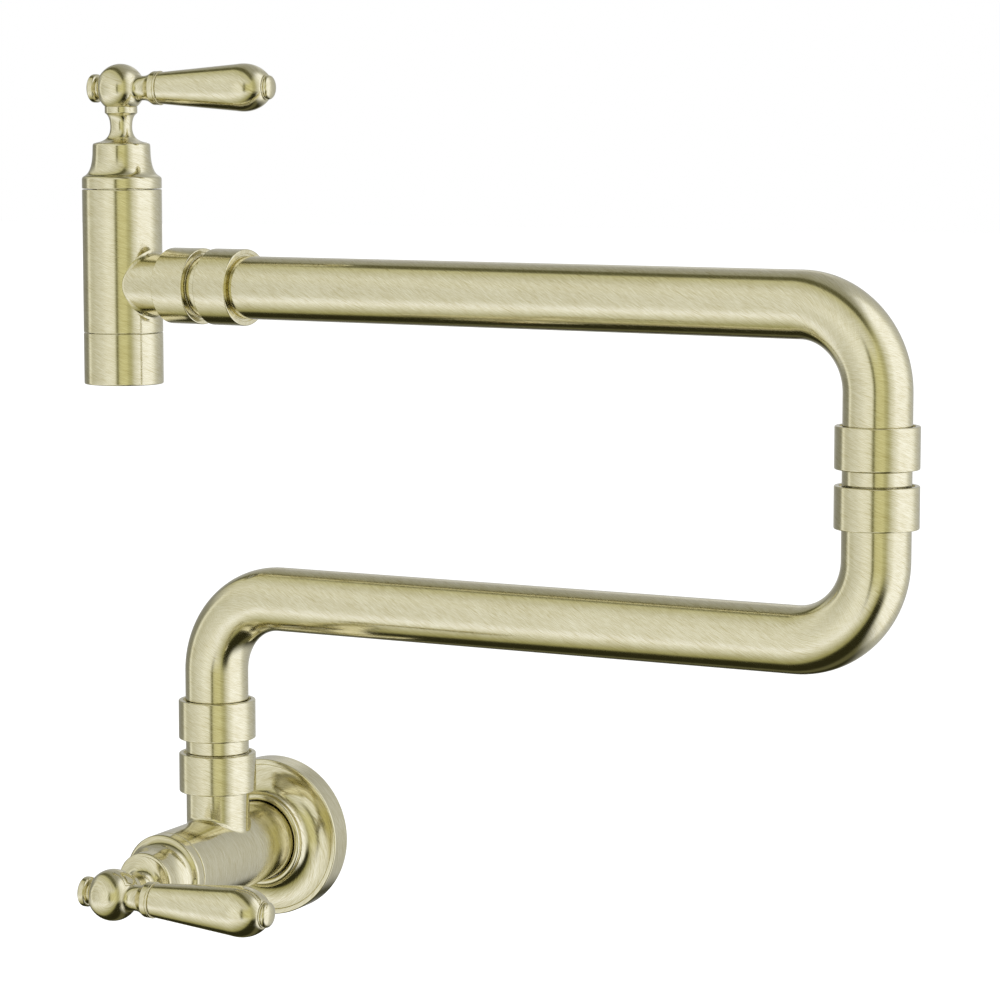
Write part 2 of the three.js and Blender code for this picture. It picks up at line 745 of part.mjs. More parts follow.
// Flange about +Z with its back at zero height: flat foot, straight rim, hollow cove up to a rounded
// lip round the barrel, a groove for its grip ring and a recess in the back.
function wall_flange() {
  const bore = barrel_radius + flange_bore_gap;
  const lip_radius = bore + flange_lip;
  const land_radius = flange_radius - flange_land;
  const groove_radius = barrel_radius + flange_ring_section + 3 * seal_gap;
  const ring_low = flange_ring_depth - seal_gap;
  const ring_high = flange_ring_depth + flange_ring_section + seal_gap;
  const lip_height = flange_lip / 2;
  const lip_base = flange_height - lip_height;
  const cove_height = lip_base - flange_rim + flange_rim_edge / 2;
  const cove = arc(land_radius, lip_base, land_radius - lip_radius, cove_height, 270, 180, 5);
  const lip = arc(bore + lip_height, lip_base, lip_height, lip_height, 0, 180, 4);
  const profile = [
    [flange_radius - flange_foot, 0],
    [flange_radius, 0],
    [flange_radius, flange_rim - flange_rim_edge],
    [flange_radius - flange_rim_edge, flange_rim],
    ...cove,
    ...lip,
    [bore, ring_high],
    [groove_radius, ring_high],
    [groove_radius, ring_low],
    [bore, ring_low],
    [bore, 0],
    [groove_radius + flange_inner_wall, 0],
    [groove_radius + flange_inner_wall, flange_recess_depth],
    [flange_radius - flange_foot, flange_recess_depth],
  ];
  return named('wall_flange', turned(profile), brushed_brass);
}

function wall_end_pieces() {
  const ring_inner = barrel_radius + 2 * seal_gap;
  const ring_middle = flange_ring_depth + flange_ring_section / 2;
  const grip_ring = seal_ring(ring_inner, ring_inner + flange_ring_section, ring_middle);
  const facing_room = new THREE.Group();
  facing_room.position.z = -riser_to_wall;
  facing_room.add(wall_flange(), named('flange_o_ring', grip_ring, black_rubber));
  const nipple_end = barrel_back + nipple_engagement;
  const nipple_outline = polygon(nipple_radius, round_segments);
  const key_hole = polygon(hex_corner(nipple_hex), 6);
  const nipple = prism(nipple_outline, [key_hole], nipple_end - nipple_length, nipple_end);
  const washer_low = nipple_end + seat_gap;
  const washer_bore = hex_corner(nipple_hex) + running_gap;
  const washer = sleeve(nipple_radius, washer_bore, washer_low, washer_low + inlet_washer_thickness);
  return [
    facing_room,
    wall_valve_body(),
    named('inlet_nipple', nipple, plain_brass),
    named('inlet_washer', washer, black_rubber),
  ];
}

// ---------------------------------------------------------------- arms

// A bent tube through the given corners. Grooves for retaining rings are cut in its bore.
function arm_tube(name, corners, groove) {
  const path = new BentPath(corners, bend_radius);
  const shape = new THREE.Shape(polygon(tube_radius, round_segments));
  shape.holes.push(new THREE.Path(polygon(tube_bore, round_segments)));
  const steps = path.stations.length - 1;
  const tube = new THREE.ExtrudeGeometry(shape, { steps, bevelEnabled: false, extrudePath: path });
  return named(name, shaped([tube], [groove]), brushed_brass);
}

// Origin at the riser's axis on the arm's centreline. The leg goes down to the riser, the arm runs
// out along +X, and the far leg goes up to the elbow.
function lower_arm() {
  const corners = [
    new THREE.Vector3(0, 0, -leg_drop + half_gap),
    new THREE.Vector3(0, 0, 0),
    new THREE.Vector3(lower_arm_reach, 0, 0),
    new THREE.Vector3(lower_arm_reach, 0, leg_drop - half_gap),
  ];
  return arm_tube('lower_arm_tube', corners, swivel_groove(-leg_drop + half_gap));
}

// Origin at the elbow's axis on the arm's centreline. The leg goes down to the elbow and the arm
// runs out along +X to the head's union.
function upper_arm() {
  const corners = [
    new THREE.Vector3(0, 0, -leg_drop + half_gap),
    new THREE.Vector3(0, 0, 0),
    new THREE.Vector3(upper_arm_reach - stub_reach - half_gap, 0, 0),
  ];
  return arm_tube('upper_arm_tube', corners, swivel_groove(-leg_drop + half_gap));
}

// ---------------------------------------------------------------- spout end

// The ring screws over the head's spigot and holds the aerator against its washer.
function outlet_pieces() {
  const top = -head_skirt - seat_gap;
  const bottom = -head_skirt - outlet_length;
  const bore = head_spigot_radius + running_gap;
  const ring = turned([
    [outlet_mouth_radius, bottom],
    [barrel_radius - collar_edge, bottom],
    [barrel_radius, bottom + collar_edge],
    [barrel_radius, top],
    [bore, top],
    [bore, bottom + outlet_lip],
    [outlet_mouth_radius, bottom + outlet_lip],
  ]);
  const washer_top = -head_skirt - head_spigot_length - seat_gap;
  const washer_low = washer_top - aerator_washer_thickness;
  const washer = sleeve(head_spigot_radius, outlet_bore, washer_low, washer_top);
  const holes = [[0, 0]];
  for (let ring_number = 1; ring_number <= 2; ring_number += 1) {
    const count = 6 * ring_number;
    for (let hole = 0; hole < count; hole += 1) {
      const angle = (2 * Math.PI * hole) / count;
      const reach = aerator_hole_pitch * ring_number;
      holes.push([reach * Math.cos(angle), reach * Math.sin(angle)]);
    }
  }
  const outlines = holes.map((centre) => polygon(aerator_hole_radius, 4, 0, centre));
  const insert_low = bottom + outlet_lip + seat_gap;
  const insert_outline = polygon(head_spigot_radius, round_segments);
  const insert = prism(insert_outline, outlines, insert_low, washer_low - seat_gap);
  return [
    named('outlet_ring', ring, brushed_brass),
    named('aerator_washer', washer, black_rubber),
    named('aerator_insert', insert, white_plastic),
  ];
}

// ---------------------------------------------------------------- assembly

const pot_filler = new THREE.Group();

// Wall valve: its barrel's front faces the room (-Y) and its stub stands up (+Z).
const wall_valve = new THREE.Group();
wall_valve.position.set(0, -riser_to_wall, 0);
wall_valve.quaternion.setFromRotationMatrix(new THREE.Matrix4().makeBasis(
  new THREE.Vector3(0, 0, 1), new THREE.Vector3(-1, 0, 0), new THREE.Vector3(0, -1, 0)));
wall_valve.add(...wall_end_pieces(), valve_trim('base', -91));
pot_filler.add(wall_valve);

// Riser union on the stub, and the lower arm above it.
const riser = new THREE.Group();
riser.position.set(0, -riser_to_wall, stub_reach);
const riser_union = union_pieces('riser');
riser.add(...riser_union.fixed, ...riser_union.swivel);
pot_filler.add(riser);

const lower = new THREE.Group();
lower.position.set(0, -riser_to_wall, lower_arm_height);
lower.rotation.z = THREE.MathUtils.degToRad(lower_arm_turn);
lower.add(lower_arm());
pot_filler.add(lower);

// Elbow union on the far leg, and the upper arm above it, folded back over the lower one.
const elbow = new THREE.Group();
elbow.position.set(lower_arm_reach, 0, leg_drop);
const elbow_union = union_pieces('elbow');
elbow.add(...elbow_union.fixed, ...elbow_union.swivel);
lower.add(elbow);

const upper = new THREE.Group();
upper.position.set(lower_arm_reach, 0, 2 * leg_drop);
upper.rotation.z = THREE.MathUtils.degToRad(upper_arm_turn - lower_arm_turn);
upper.add(upper_arm());
lower.add(upper);

// Head union at the end of the arm, and the spout head with its stub turned back to it.
const head_joint = new THREE.Group();
head_joint.position.set(upper_arm_reach - stub_reach, 0, 0);
head_joint.rotation.y = Math.PI / 2;
const head_union = union_pieces('head_union');
head_joint.add(...head_union.fixed, ...head_union.swivel);
upper.add(head_joint);

const head = new THREE.Group();
head.position.set(upper_arm_reach, 0, 0);
head.rotation.z = Math.PI;
head.add(spout_head_body(), valve_trim('head', 11.4), ...outlet_pieces());
upper.add(head);

export default pot_filler;
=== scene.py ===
# Wall mounted pot filler in brushed pale brass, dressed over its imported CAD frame.
# Metres, +Z up. The origin is the middle of the wall flange's back; +X runs right along the wall and
# +Y runs into it. Outlines of turned pieces are given in millimetres, as a turner's drawing gives them.
import json
import math

import bmesh
import bpy
import numpy as np
from mathutils import Matrix, Vector

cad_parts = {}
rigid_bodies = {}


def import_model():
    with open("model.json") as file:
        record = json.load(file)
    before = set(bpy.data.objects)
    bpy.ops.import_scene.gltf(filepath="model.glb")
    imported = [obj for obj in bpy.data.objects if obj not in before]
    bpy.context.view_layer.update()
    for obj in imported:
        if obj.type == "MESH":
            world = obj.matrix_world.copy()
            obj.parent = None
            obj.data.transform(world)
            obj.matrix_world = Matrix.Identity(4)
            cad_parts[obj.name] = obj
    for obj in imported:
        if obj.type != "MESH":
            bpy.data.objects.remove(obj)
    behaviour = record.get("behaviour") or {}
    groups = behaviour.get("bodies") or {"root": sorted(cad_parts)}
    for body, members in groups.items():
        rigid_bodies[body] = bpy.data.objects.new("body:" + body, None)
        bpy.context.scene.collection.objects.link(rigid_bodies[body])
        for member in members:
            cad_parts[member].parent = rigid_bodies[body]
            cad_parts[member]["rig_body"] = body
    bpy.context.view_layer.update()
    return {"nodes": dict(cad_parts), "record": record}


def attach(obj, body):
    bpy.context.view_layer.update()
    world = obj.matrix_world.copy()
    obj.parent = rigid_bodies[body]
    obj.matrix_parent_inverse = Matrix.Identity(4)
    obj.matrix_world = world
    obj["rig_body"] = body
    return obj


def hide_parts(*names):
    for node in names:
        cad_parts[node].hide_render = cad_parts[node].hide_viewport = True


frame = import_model()

# ------------------------------------------------------------------------------------- where it hangs
# The wall valve's barrel stands 50 mm off the wall, its stub points up, and both arms lie folded in
# front of the wall: the lower one reaches right from the riser, the upper one back left above it.

mm = 0.001
riser_to_wall = 50
stub_reach = 45.5
leg_drop = 61.3
lower_arm_reach = 286
upper_arm_reach = 348.5
lower_arm_turn = math.radians(-3.8)
upper_arm_turn = math.radians(172.1)


def at(x, y, z):
    """A move by so many millimetres."""
    return Matrix.Translation(Vector((x, y, z)) * mm)


def about(axis, angle):
    return Matrix.Rotation(angle, 4, axis)


facing_room = Matrix(((0, -1, 0, 0), (0, 0, -1, 0), (1, 0, 0, 0), (0, 0, 0, 1)))
wall_valve = at(0, -riser_to_wall, 0) @ facing_room
riser = at(0, -riser_to_wall, stub_reach)
lower_arm = at(0, -riser_to_wall, stub_reach + leg_drop) @ about("Z", lower_arm_turn)
elbow = lower_arm @ at(lower_arm_reach, 0, leg_drop)
upper_arm = elbow @ at(0, 0, leg_drop) @ about("Z", upper_arm_turn - lower_arm_turn)
head_union = upper_arm @ at(upper_arm_reach - stub_reach, 0, 0) @ about("Y", math.pi / 2)
spout_head = upper_arm @ at(upper_arm_reach, 0, 0) @ about("Z", math.pi)

# ------------------------------------------------------------------------------------- wall valve body
# A brass body turned from bar: a barrel square to the wall with a stub standing on it, the two joined
# by a small fillet. The wall end is bored for the threaded nipple, the room end for the cartridge.

barrel_radius = 16.4
barrel_front = 39
barrel_back = -48
tube_radius = 12.7
tube_bore = 11.2
half_gap = 2.95
fillet_radius = 1.9
skin_sunk = 0.012  # how far the fillet runs into the two skins that it joins
seat_gap = 0.3  # between pieces that are seated on each other
smooth_turn = 0.82  # cosine of the sharpest corner that is still shaded smooth
finely = 144  # points round a large turned piece


def curve(start, leaving, arriving, end, steps=10):
    """Points of a cubic curve in an outline, after its start."""
    shares = [step / steps for step in range(1, steps + 1)]
    weights = [((1 - s) ** 3, 3 * s * (1 - s) ** 2, 3 * s * s * (1 - s), s**3) for s in shares]
    knots = (start, leaving, arriving, end)
    return [tuple(sum(w * k[i] for w, k in zip(weight, knots)) for i in (0, 1)) for weight in weights]


def round_arc(centre_height, radius, start, end, steps=16):
    """Points of a ball's outline from one angle in degrees above its middle to another."""
    angles = np.radians(np.linspace(start, end, steps + 1))
    return [(max(radius * math.cos(a), 0.0), centre_height + radius * math.sin(a)) for a in angles]


def eased(corners, steps=4):
    """An outline whose corners (radius, height, easing) are rounded where they have an easing."""
    outline = []
    for index, corner in enumerate(corners):
        here = Vector(corner[:2])
        if len(corner) < 3:
            outline.append(tuple(here))
            continue
        before = (Vector(corners[index - 1][:2]) - here).normalized()
        after = (Vector(corners[index + 1][:2]) - here).normalized()
        first, last = here + before * corner[2], here + after * corner[2]
        for step in range(steps + 1):
            share = step / steps
            spot = first * (1 - share) ** 2 + here * 2 * share * (1 - share) + last * share**2
            outline.append(tuple(spot))
    return outline


def skin(rings, normals, along):
    """A surface through rings of points that close round; a ring whose points meet is a pole.

    rings is (rings, points, 3) in millimetres, normals holds each strip's normals at its two rings,
    and along is each ring's distance along the piece for its brush marks.
    """
    count = rings.shape[1]
    strips = len(rings) - 1
    poles = np.ptp(rings, axis=1).max(axis=1) < 1e-6
    points, corner_of = [], np.zeros((strips + 1, count), int)
    for ring in range(strips + 1):
        corner_of[ring] = len(points) + (0 if poles[ring] else np.arange(count))
        points.extend(rings[ring][:1] if poles[ring] else rings[ring])
    faces, marks, leanings = [], [], []
    for strip in range(strips):
        for spot in range(count):
            after = (spot + 1) % count
            corners = [(strip, spot, spot), (strip, after, spot + 1)]
            corners += [(strip + 1, after, spot + 1), (strip + 1, spot, spot)]
            if poles[strip]:
                corners.pop(0)
            elif poles[strip + 1]:
                corners.pop(3)
            faces.append([int(corner_of[ring, place]) for ring, place, _ in corners])
            marks.extend((turn / count, along[ring] * mm) for ring, _, turn in corners)
            leanings.extend(normals[strip][ring - strip][place] for ring, place, _ in corners)
    return np.array(points), faces, marks, leanings


def turned(outline, sides=96):
    """The skin of a turned piece about +Z. The outline has the metal on its left."""
    kept = [p for i, p in enumerate(outline) if i == 0 or math.dist(p, outline[i - 1]) > 1e-6]
    line = np.array(kept)
    steps = np.diff(line, axis=0)
    lengths = np.linalg.norm(steps, axis=1)
    outward = np.column_stack([steps[:, 1], -steps[:, 0]]) / lengths[:, None]
    ends = np.stack([outward, outward], axis=1)
    for joint in range(1, len(outward)):
        if outward[joint - 1] @ outward[joint] > smooth_turn:
            shared = outward[joint - 1] * lengths[joint - 1] + outward[joint] * lengths[joint]
            ends[joint - 1, 1] = ends[joint, 0] = shared / np.linalg.norm(shared)
    angles = np.arange(sides) * math.tau / sides
    round_it = np.column_stack([np.cos(angles), np.sin(angles), np.ones(sides)])
    rings = line[:, [0, 0, 1]][:, None, :] * round_it
    normals = ends[:, :, [0, 0, 1]][:, :, None, :] * round_it
    return skin(rings, normals, np.concatenate([[0], np.cumsum(lengths)]))


def placed(surface, move, metal):
    """A skin moved by a matrix in metres, its points turned from millimetres to metres."""
    points, faces, marks, normals = surface
    turn = np.array(move.to_3x3())
    moved = points @ turn.T * mm + np.array(move.translation)
    return moved, faces, marks, np.array(normals) @ turn.T, metal


slot_of = {row["node"]: row["material_slot"] for row in frame["record"]["subparts"]}


def dress(node, *surfaces):
    """One piece made of placed skins, which stands for a CAD node and rides on that node's body."""
    points, faces, marks, normals, metals, metal_of = [], [], [], [], [], []
    for placed_points, placed_faces, placed_marks, placed_normals, metal in surfaces:
        if metal not in metals:
            metals.append(metal)
        faces.extend([corner + len(points) for corner in face] for face in placed_faces)
        metal_of.extend([metals.index(metal)] * len(placed_faces))
        points.extend(placed_points)
        marks.extend(placed_marks)
        normals.extend(placed_normals)
    mesh = bpy.data.meshes.new(node + "_dressed")
    mesh.from_pydata(points, [], faces)
    for metal in metals:
        mesh.materials.append(metal)
    mesh.polygons.foreach_set("material_index", metal_of)
    mesh.uv_layers.new(name="brush").data.foreach_set("uv", np.array(marks).ravel())
    mesh.normals_split_custom_set(normals)
    made = bpy.data.objects.new(node + "_dressed", mesh)
    bpy.context.scene.collection.objects.link(made)
    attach(made, frame["nodes"][node]["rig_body"])
    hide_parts(node)


def stub_fillet(stub_radius, steps=8, sides=finely):
    """The fillet where a stub along +X meets a barrel along +Z, as a ball rolled round the corner."""
    rings = np.zeros((steps + 1, sides, 3))
    normals = np.zeros((steps, 2, sides, 3))
    for side in range(sides):
        angle = side * math.tau / sides
        across = Vector((math.cos(angle), math.sin(angle))) * (stub_radius + fillet_radius)
        out = math.sqrt((barrel_radius + fillet_radius) ** 2 - across.y**2)
        centre = Vector((out, across.y, across.x))
        to_barrel = -Vector((centre.x, centre.y, 0)).normalized()
        to_stub = -Vector((0, centre.y, centre.z)).normalized()
        for step in range(steps + 1):
            toward = to_barrel.slerp(to_stub, step / steps)
            rings[step, side] = centre + toward * (fillet_radius + skin_sunk)
            normals[max(step - 1, 0), 1 if step else 0, side] = -toward
            normals[min(step, steps - 1), 0 if step < steps else 1, side] = -toward
    return skin(rings[:, ::-1], normals[:, :, ::-1], np.linspace(0, 3, steps + 1))


class Wire:
    """A socket among a material's nodes. Sums on it, with numbers or other wires, add Math nodes."""

    def __init__(self, tree, socket=None):
        self.tree = tree
        self.socket = socket

    def node(self, kind, settings=None, inputs=None):
        """A new node: its settings first, then the values or wires of its sockets."""
        made = self.tree.nodes.new(kind)
        for key, value in (settings or {}).items():
            if key == "stops":
                ramp = made.color_ramp
                while len(ramp.elements) < len(value):
                    ramp.elements.new(1.0)
                for element, (position, colour) in zip(ramp.elements, value):
                    element.position = position
                    element.color = (*colour, 1)
            else:
                setattr(made, key, value)
        for key, value in (inputs or {}).items():
            if isinstance(value, Wire):
                self.tree.links.new(value.socket, made.inputs[key])
            else:
                made.inputs[key].default_value = value
        return Wire(self.tree, next((output for output in made.outputs if output.enabled), None))

    def part(self, output):
        """Another output of the same node."""
        return Wire(self.tree, self.socket.node.outputs[output])

    def maths(self, operation, *values):
        return self.node("ShaderNodeMath", {"operation": operation}, dict(enumerate(values)))

    def between(self, low, high):
        """A colour that runs from low to high as this wire runs from 0 to 1."""
        return self.node("ShaderNodeMix", {"data_type": "RGBA"}, {0: self, 6: low, 7: high}).part(2)

    def __add__(self, other):
        return self.maths("ADD", self, other)

    def __sub__(self, other):
        return self.maths("SUBTRACT", self, other)

    def __rsub__(self, other):
        return self.maths("SUBTRACT", other, self)

    def __mul__(self, other):
        return self.maths("MULTIPLY", self, other)

    def __truediv__(self, other):
        return self.maths("DIVIDE", self, other)

    __radd__ = __add__
    __rmul__ = __mul__


def finish(name):
    """A new material, with the wire that its nodes start from and its shader."""
    material = bpy.data.materials.new(name)
    material.use_nodes = True
    return material, Wire(material.node_tree), material.node_tree.nodes["Principled BSDF"]


def connect(wire, shader, socket):
    wire.tree.links.new(wire.socket, shader.inputs[socket])


def smooth_step(wire, low, high):
    return wire.node("ShaderNodeMapRange", {"interpolation_type": "SMOOTHSTEP"},
                     {"Value": wire, "From Min": low, "From Max": high})


deep_brass = (0.56, 0.50, 0.28, 1)
pale_brass = (0.86, 0.83, 0.63, 1)
stroke_depth = 0.000005


def brushed_brass(name, girth, lay, leg_lay=None, leg_ends=()):
    """Pale brass plating, rubbed by hand: short strokes that lie so many degrees off the way round.

    The strokes wind round a piece of the given girth radius as threads of a screw do, so that they
    meet without a seam. On a bent tube they turn to leg_lay in each of leg_ends, stretches along the
    tube from its leg to its level run. Lengths are in millimetres.
    """
    metal, wires, shader = finish(name)
    brush = wires.node("ShaderNodeUVMap", {"uv_map": "brush"})
    split = wires.node("ShaderNodeSeparateXYZ", {}, {"Vector": brush})
    turn = split.part("X") * math.tau
    along = split.part("Y")

    def strokes(lay, width, length, lean, detail):
        slope = math.radians(lay + lean)
        helix = turn - along / (math.tan(slope) * girth * mm)
        spread = girth * abs(math.sin(slope)) / width
        east = helix.maths("COSINE", helix) * spread
        north = helix.maths("SINE", helix) * spread
        far = along / (length * mm * abs(math.sin(slope))) + lean
        where = wires.node("ShaderNodeCombineXYZ", {}, {"X": east, "Y": north, "Z": far})
        marks = {"Vector": where, "Scale": 1.0, "Detail": detail, "Roughness": 0.6}
        return wires.node("ShaderNodeTexNoise", {"noise_dimensions": "3D"}, marks) - 0.5

    def rubbed(width, length, lean, detail=2.0):
        marks = strokes(lay, width, length, lean, detail)
        for leg_side, level_side in leg_ends:
            level = smooth_step(along, leg_side * mm, level_side * mm)
            marks = marks * level + strokes(leg_lay, width, length, lean, detail) * (1 - level)
        return marks

    fine = rubbed(0.22, 4, 0, 1.0)
    crossing = rubbed(0.24, 3, 14, 1.0)
    broad = rubbed(0.7, 8, -6)
    clouds = strokes(lay, 6, 16, 3, 1.0)
    deep = smooth_step(rubbed(0.3, 7, 6, 0.0), 0.14, 0.3)
    shade = fine * 1.1 + crossing * 0.8 + broad * 0.25 + clouds * 0.3 + 0.6 - deep * 0.35
    connect(shade.between(deep_brass, pale_brass), shader, "Base Color")
    connect(0.13 + fine * 0.06 + clouds * 0.04 + deep * 0.06, shader, "Roughness")
    height = fine + crossing * 0.6 - deep
    grain = wires.node("ShaderNodeBump", {}, {"Height": height, "Distance": stroke_depth})
    connect(grain, shader, "Normal")
    shader.inputs["Metallic"].default_value = 1.0
    return metal


upright_lay = -24
level_lay = 57
barrel_brass = brushed_brass("barrel_brushed_brass", barrel_radius, upright_lay)
stub_brass = brushed_brass("stub_brushed_brass", tube_radius, upright_lay)
wall_barrel_brass = brushed_brass("wall_barrel_brushed_brass", barrel_radius, lay=6)

barrel_bore = [(8.5, -14), (8.5, -27.4), (10.75, -27.4), (10.75, barrel_back, 0.4),
               (barrel_radius, barrel_back, 0.6)]
barrel_front_edge = [(barrel_radius, barrel_front, 0.5), (12.4, barrel_front, 0.2), (12.4, 30)]
stub_end = stub_reach - half_gap
stub_outline = eased([(tube_radius, 9), (tube_radius, stub_end, 0.35), (tube_bore, stub_end),
                      (tube_bore, 30)])
toward_stub = about("Y", math.pi / 2)

dress(
    "valve_body",
    placed(turned(eased(barrel_bore + barrel_front_edge), finely), wall_valve, wall_barrel_brass),
    placed(turned(stub_outline, finely), wall_valve @ toward_stub, stub_brass),
    placed(stub_fillet(tube_radius), wall_valve, stub_brass),
)

# ------------------------------------------------------------------------------------- supply nipple
# A plain brass nipple with a parallel thread outside and a hexagon bore, driven by a hex key through
# the valve body. Half of it stays in the valve body, half screws into the fitting in the wall.

nipple_end = barrel_back + 20
nipple_length = 42
nipple_radius = 10.45
nipple_hex = 12
thread_pitch = 1.814
thread_depth = 1.1


def machined_brass(name, colour, roughness):
    """Unplated brass as it leaves the lathe: fine turning marks and a little tarnish."""
    metal, wires, shader = finish(name)
    place = wires.node("ShaderNodeTexCoord").part("Object")
    marks = wires.node("ShaderNodeTexNoise", {}, {"Vector": place, "Scale": 900.0, "Detail": 3.0}) - 0.5
    tarnish = wires.node("ShaderNodeTexNoise", {}, {"Vector": place, "Scale": 60.0, "Detail": 2.0}) - 0.5
    shade = marks * 0.8 + tarnish * 1.2 + 0.5
    dark = tuple(share * 0.72 for share in colour)
    connect(shade.between((*dark, 1), (*colour, 1)), shader, "Base Color")
    connect(roughness + marks * 0.12 + tarnish * 0.1, shader, "Roughness")
    shader.inputs["Metallic"].default_value = 1.0
    return metal


plain_brass = machined_brass("plain_machined_brass", (0.76, 0.60, 0.32), 0.3)


def threaded_skin(low, high, radius, pitch, depth, sides=72):
    """The helical ridges of a screw thread about +Z, run out to the bare core at both ends."""
    heights = np.linspace(low, high, round((high - low) / pitch * 8) + 1)
    angles = np.arange(sides) * math.tau / sides
    runs = (heights[:, None] / pitch - angles / math.tau) % 1
    ridge = np.abs(runs * 2 - 1)
    fade = np.clip(np.minimum(heights - low, high - heights) / pitch, 0, 1)[:, None]
    reach = radius - depth + depth * ridge * fade
    levels = heights[:, None] + 0 * angles
    rings = np.stack([reach * np.cos(angles), reach * np.sin(angles), levels], axis=2)
    steep = np.gradient(reach, heights, axis=0)
    outward = np.stack([np.cos(angles) + 0 * steep, np.sin(angles) + 0 * steep, -steep], axis=2)
    outward /= np.linalg.norm(outward, axis=2, keepdims=True)
    normals = np.stack([outward[:-1], outward[1:]], axis=1)
    return skin(rings, normals, heights)


def hexagon_bore(low, high, rim, across_flats, sides=72):
    """A hexagon bore with its two end faces, out to a round rim."""
    angles = np.arange(sides) * math.tau / sides
    flats = (across_flats / 2) / np.cos((angles + math.pi / 6) % (math.pi / 3) - math.pi / 6)
    circle = np.column_stack([np.cos(angles), np.sin(angles)])
    rim = rim + 0 * angles
    spread = [(rim, high), (flats, high), (flats, low), (rim, low)]
    rings = np.array([np.column_stack([circle * r[:, None], h + 0 * r]) for r, h in spread])
    inward = -np.column_stack([np.cos(angles), np.sin(angles), 0 * angles])
    up = np.tile([0.0, 0.0, 1.0], (sides, 1))
    normals = np.array([[up, up], [inward, inward], [-up, -up]])
    return skin(rings, normals, np.array([0, 3, high - low + 3, high - low + 6]))


nipple_low = nipple_end - nipple_length
nipple_core = nipple_radius - thread_depth
nipple_thread = threaded_skin(nipple_low, nipple_end, nipple_radius, thread_pitch, thread_depth)
nipple_bore = hexagon_bore(nipple_low, nipple_end, nipple_core, nipple_hex)
dress(
    "inlet_nipple",
    placed(nipple_thread, wall_valve, plain_brass),
    placed(nipple_bore, wall_valve, plain_brass),
)

# ------------------------------------------------------------------------------------- wall flange
# A flange spun and turned from brass: a straight rim, a hollow cove up to a rounded lip round the
# barrel, and a hollow back. It slides on the barrel and a rubber ring inside it holds it to the wall.

flange_radius = 32.7
flange_rim = 10.6
flange_height = 17.4
flange_bore = 16.85
flange_lip = 2.6
flange_facing_room = wall_valve @ at(0, 0, -riser_to_wall)
flange_brass = brushed_brass("flange_brushed_brass", girth=26, lay=14)

lip_edge = barrel_radius + 0.22
lip_middle = lip_edge + flange_lip / 2
lip_base = flange_height - flange_lip / 2
cove_start = (flange_radius - 2.4, flange_rim - 0.6)
lip_arc = [(lip_middle + flange_lip / 2 * math.cos(a), lip_base + flange_lip / 2 * math.sin(a))
           for a in np.linspace(0, math.pi, 13)]
flange_outline = eased([(29, 6), (29, 0), (flange_radius, 0, 0.4), (flange_radius, flange_rim, 0.8),
                        (flange_radius - 2.0, flange_rim, 0.2), cove_start])
flange_outline += curve(cove_start, (25.5, 9.4), (19.5, 12.4), lip_arc[0], 20)
flange_outline += lip_arc + [(lip_edge, 15), (flange_bore, 14.8)]
flange_outline += [(flange_bore, 6.2), (19, 6.2), (19, 3.8), (flange_bore, 3.8)]
flange_outline += [(flange_bore, 0), (20.5, 0), (20.5, 6), (29, 6)]

dress("wall_flange", placed(turned(flange_outline, 192), flange_facing_room, flange_brass))

# ------------------------------------------------------------------------------------- unions
# Each joint of the arms is a union of two collars with a bright neck between them. The collars are
# short brass sleeves soldered round the tube ends; the neck is the spigot that runs inside both.

collar_radius = 15.5
collar_length = 15.7
collar_step = 13.7
collar_step_depth = 0.9
collar_slip = 0.06
spigot_bore = 7.5
spigot_below = 13
spigot_above = 17


def collar(node, union, low, metal):
    high = low + collar_length
    bore = tube_radius + collar_slip
    outline = eased([
        (bore, low + collar_step_depth), (collar_step, low + collar_step_depth),
        (collar_step, low, 0.15), (collar_radius, low, 0.55), (collar_radius, high, 0.55),
        (collar_step, high, 0.15), (collar_step, high - collar_step_depth),
        (bore, high - collar_step_depth),
    ])
    dress(node, placed(turned(outline, 128), union, metal))


def neck(node, union, metal):
    band = half_gap - seat_gap
    journal = tube_bore - seat_gap
    low, high = -half_gap - spigot_below, half_gap + spigot_above
    outline = eased([
        (spigot_bore, low), (journal, low, 0.4), (journal, -band), (tube_radius, -band, 0.25),
        (tube_radius, band, 0.25), (journal, band), (journal, high), (spigot_bore, high),
        (spigot_bore, low),
    ])
    dress(node, placed(turned(outline, 128), union, metal))


unions = (
    ("riser", riser, upright_lay),
    ("elbow", elbow, upright_lay),
    ("head_union", head_union, level_lay),
)
for prefix, union, lay in unions:
    collar_brass = brushed_brass(prefix + "_collar_brushed_brass", collar_radius, lay)
    collar(prefix + "_fixed_collar", union, -half_gap - collar_length, collar_brass)
    neck(prefix + "_spigot", union, brushed_brass(prefix + "_neck_brushed_brass", tube_radius, lay))
    collar(prefix + "_swivel_collar", union, half_gap, collar_brass)

# ------------------------------------------------------------------------------------- arms
# Two lengths of 1 inch brass tube bent cold on one former. The lower one drops to the riser and rises
# to the elbow; the upper one drops to the elbow and runs straight out to the spout head's union.

bend_radius = 31
leg_run = leg_drop - half_gap - bend_radius
quarter = bend_radius * math.pi / 2
turn_start, turn_finish = leg_run + 0.1 * quarter, leg_run + 0.9 * quarter
lower_length = 2 * (leg_run + quarter) + lower_arm_reach - 2 * bend_radius
first_turn = (turn_start, turn_finish)
last_turn = (lower_length - turn_start, lower_length - turn_finish)
lower_brass = brushed_brass("lower_arm_brushed_brass", tube_radius, level_lay,
                            upright_lay, (first_turn, last_turn))
upper_brass = brushed_brass("upper_arm_brushed_brass", tube_radius, level_lay,
                            upright_lay, (first_turn,))


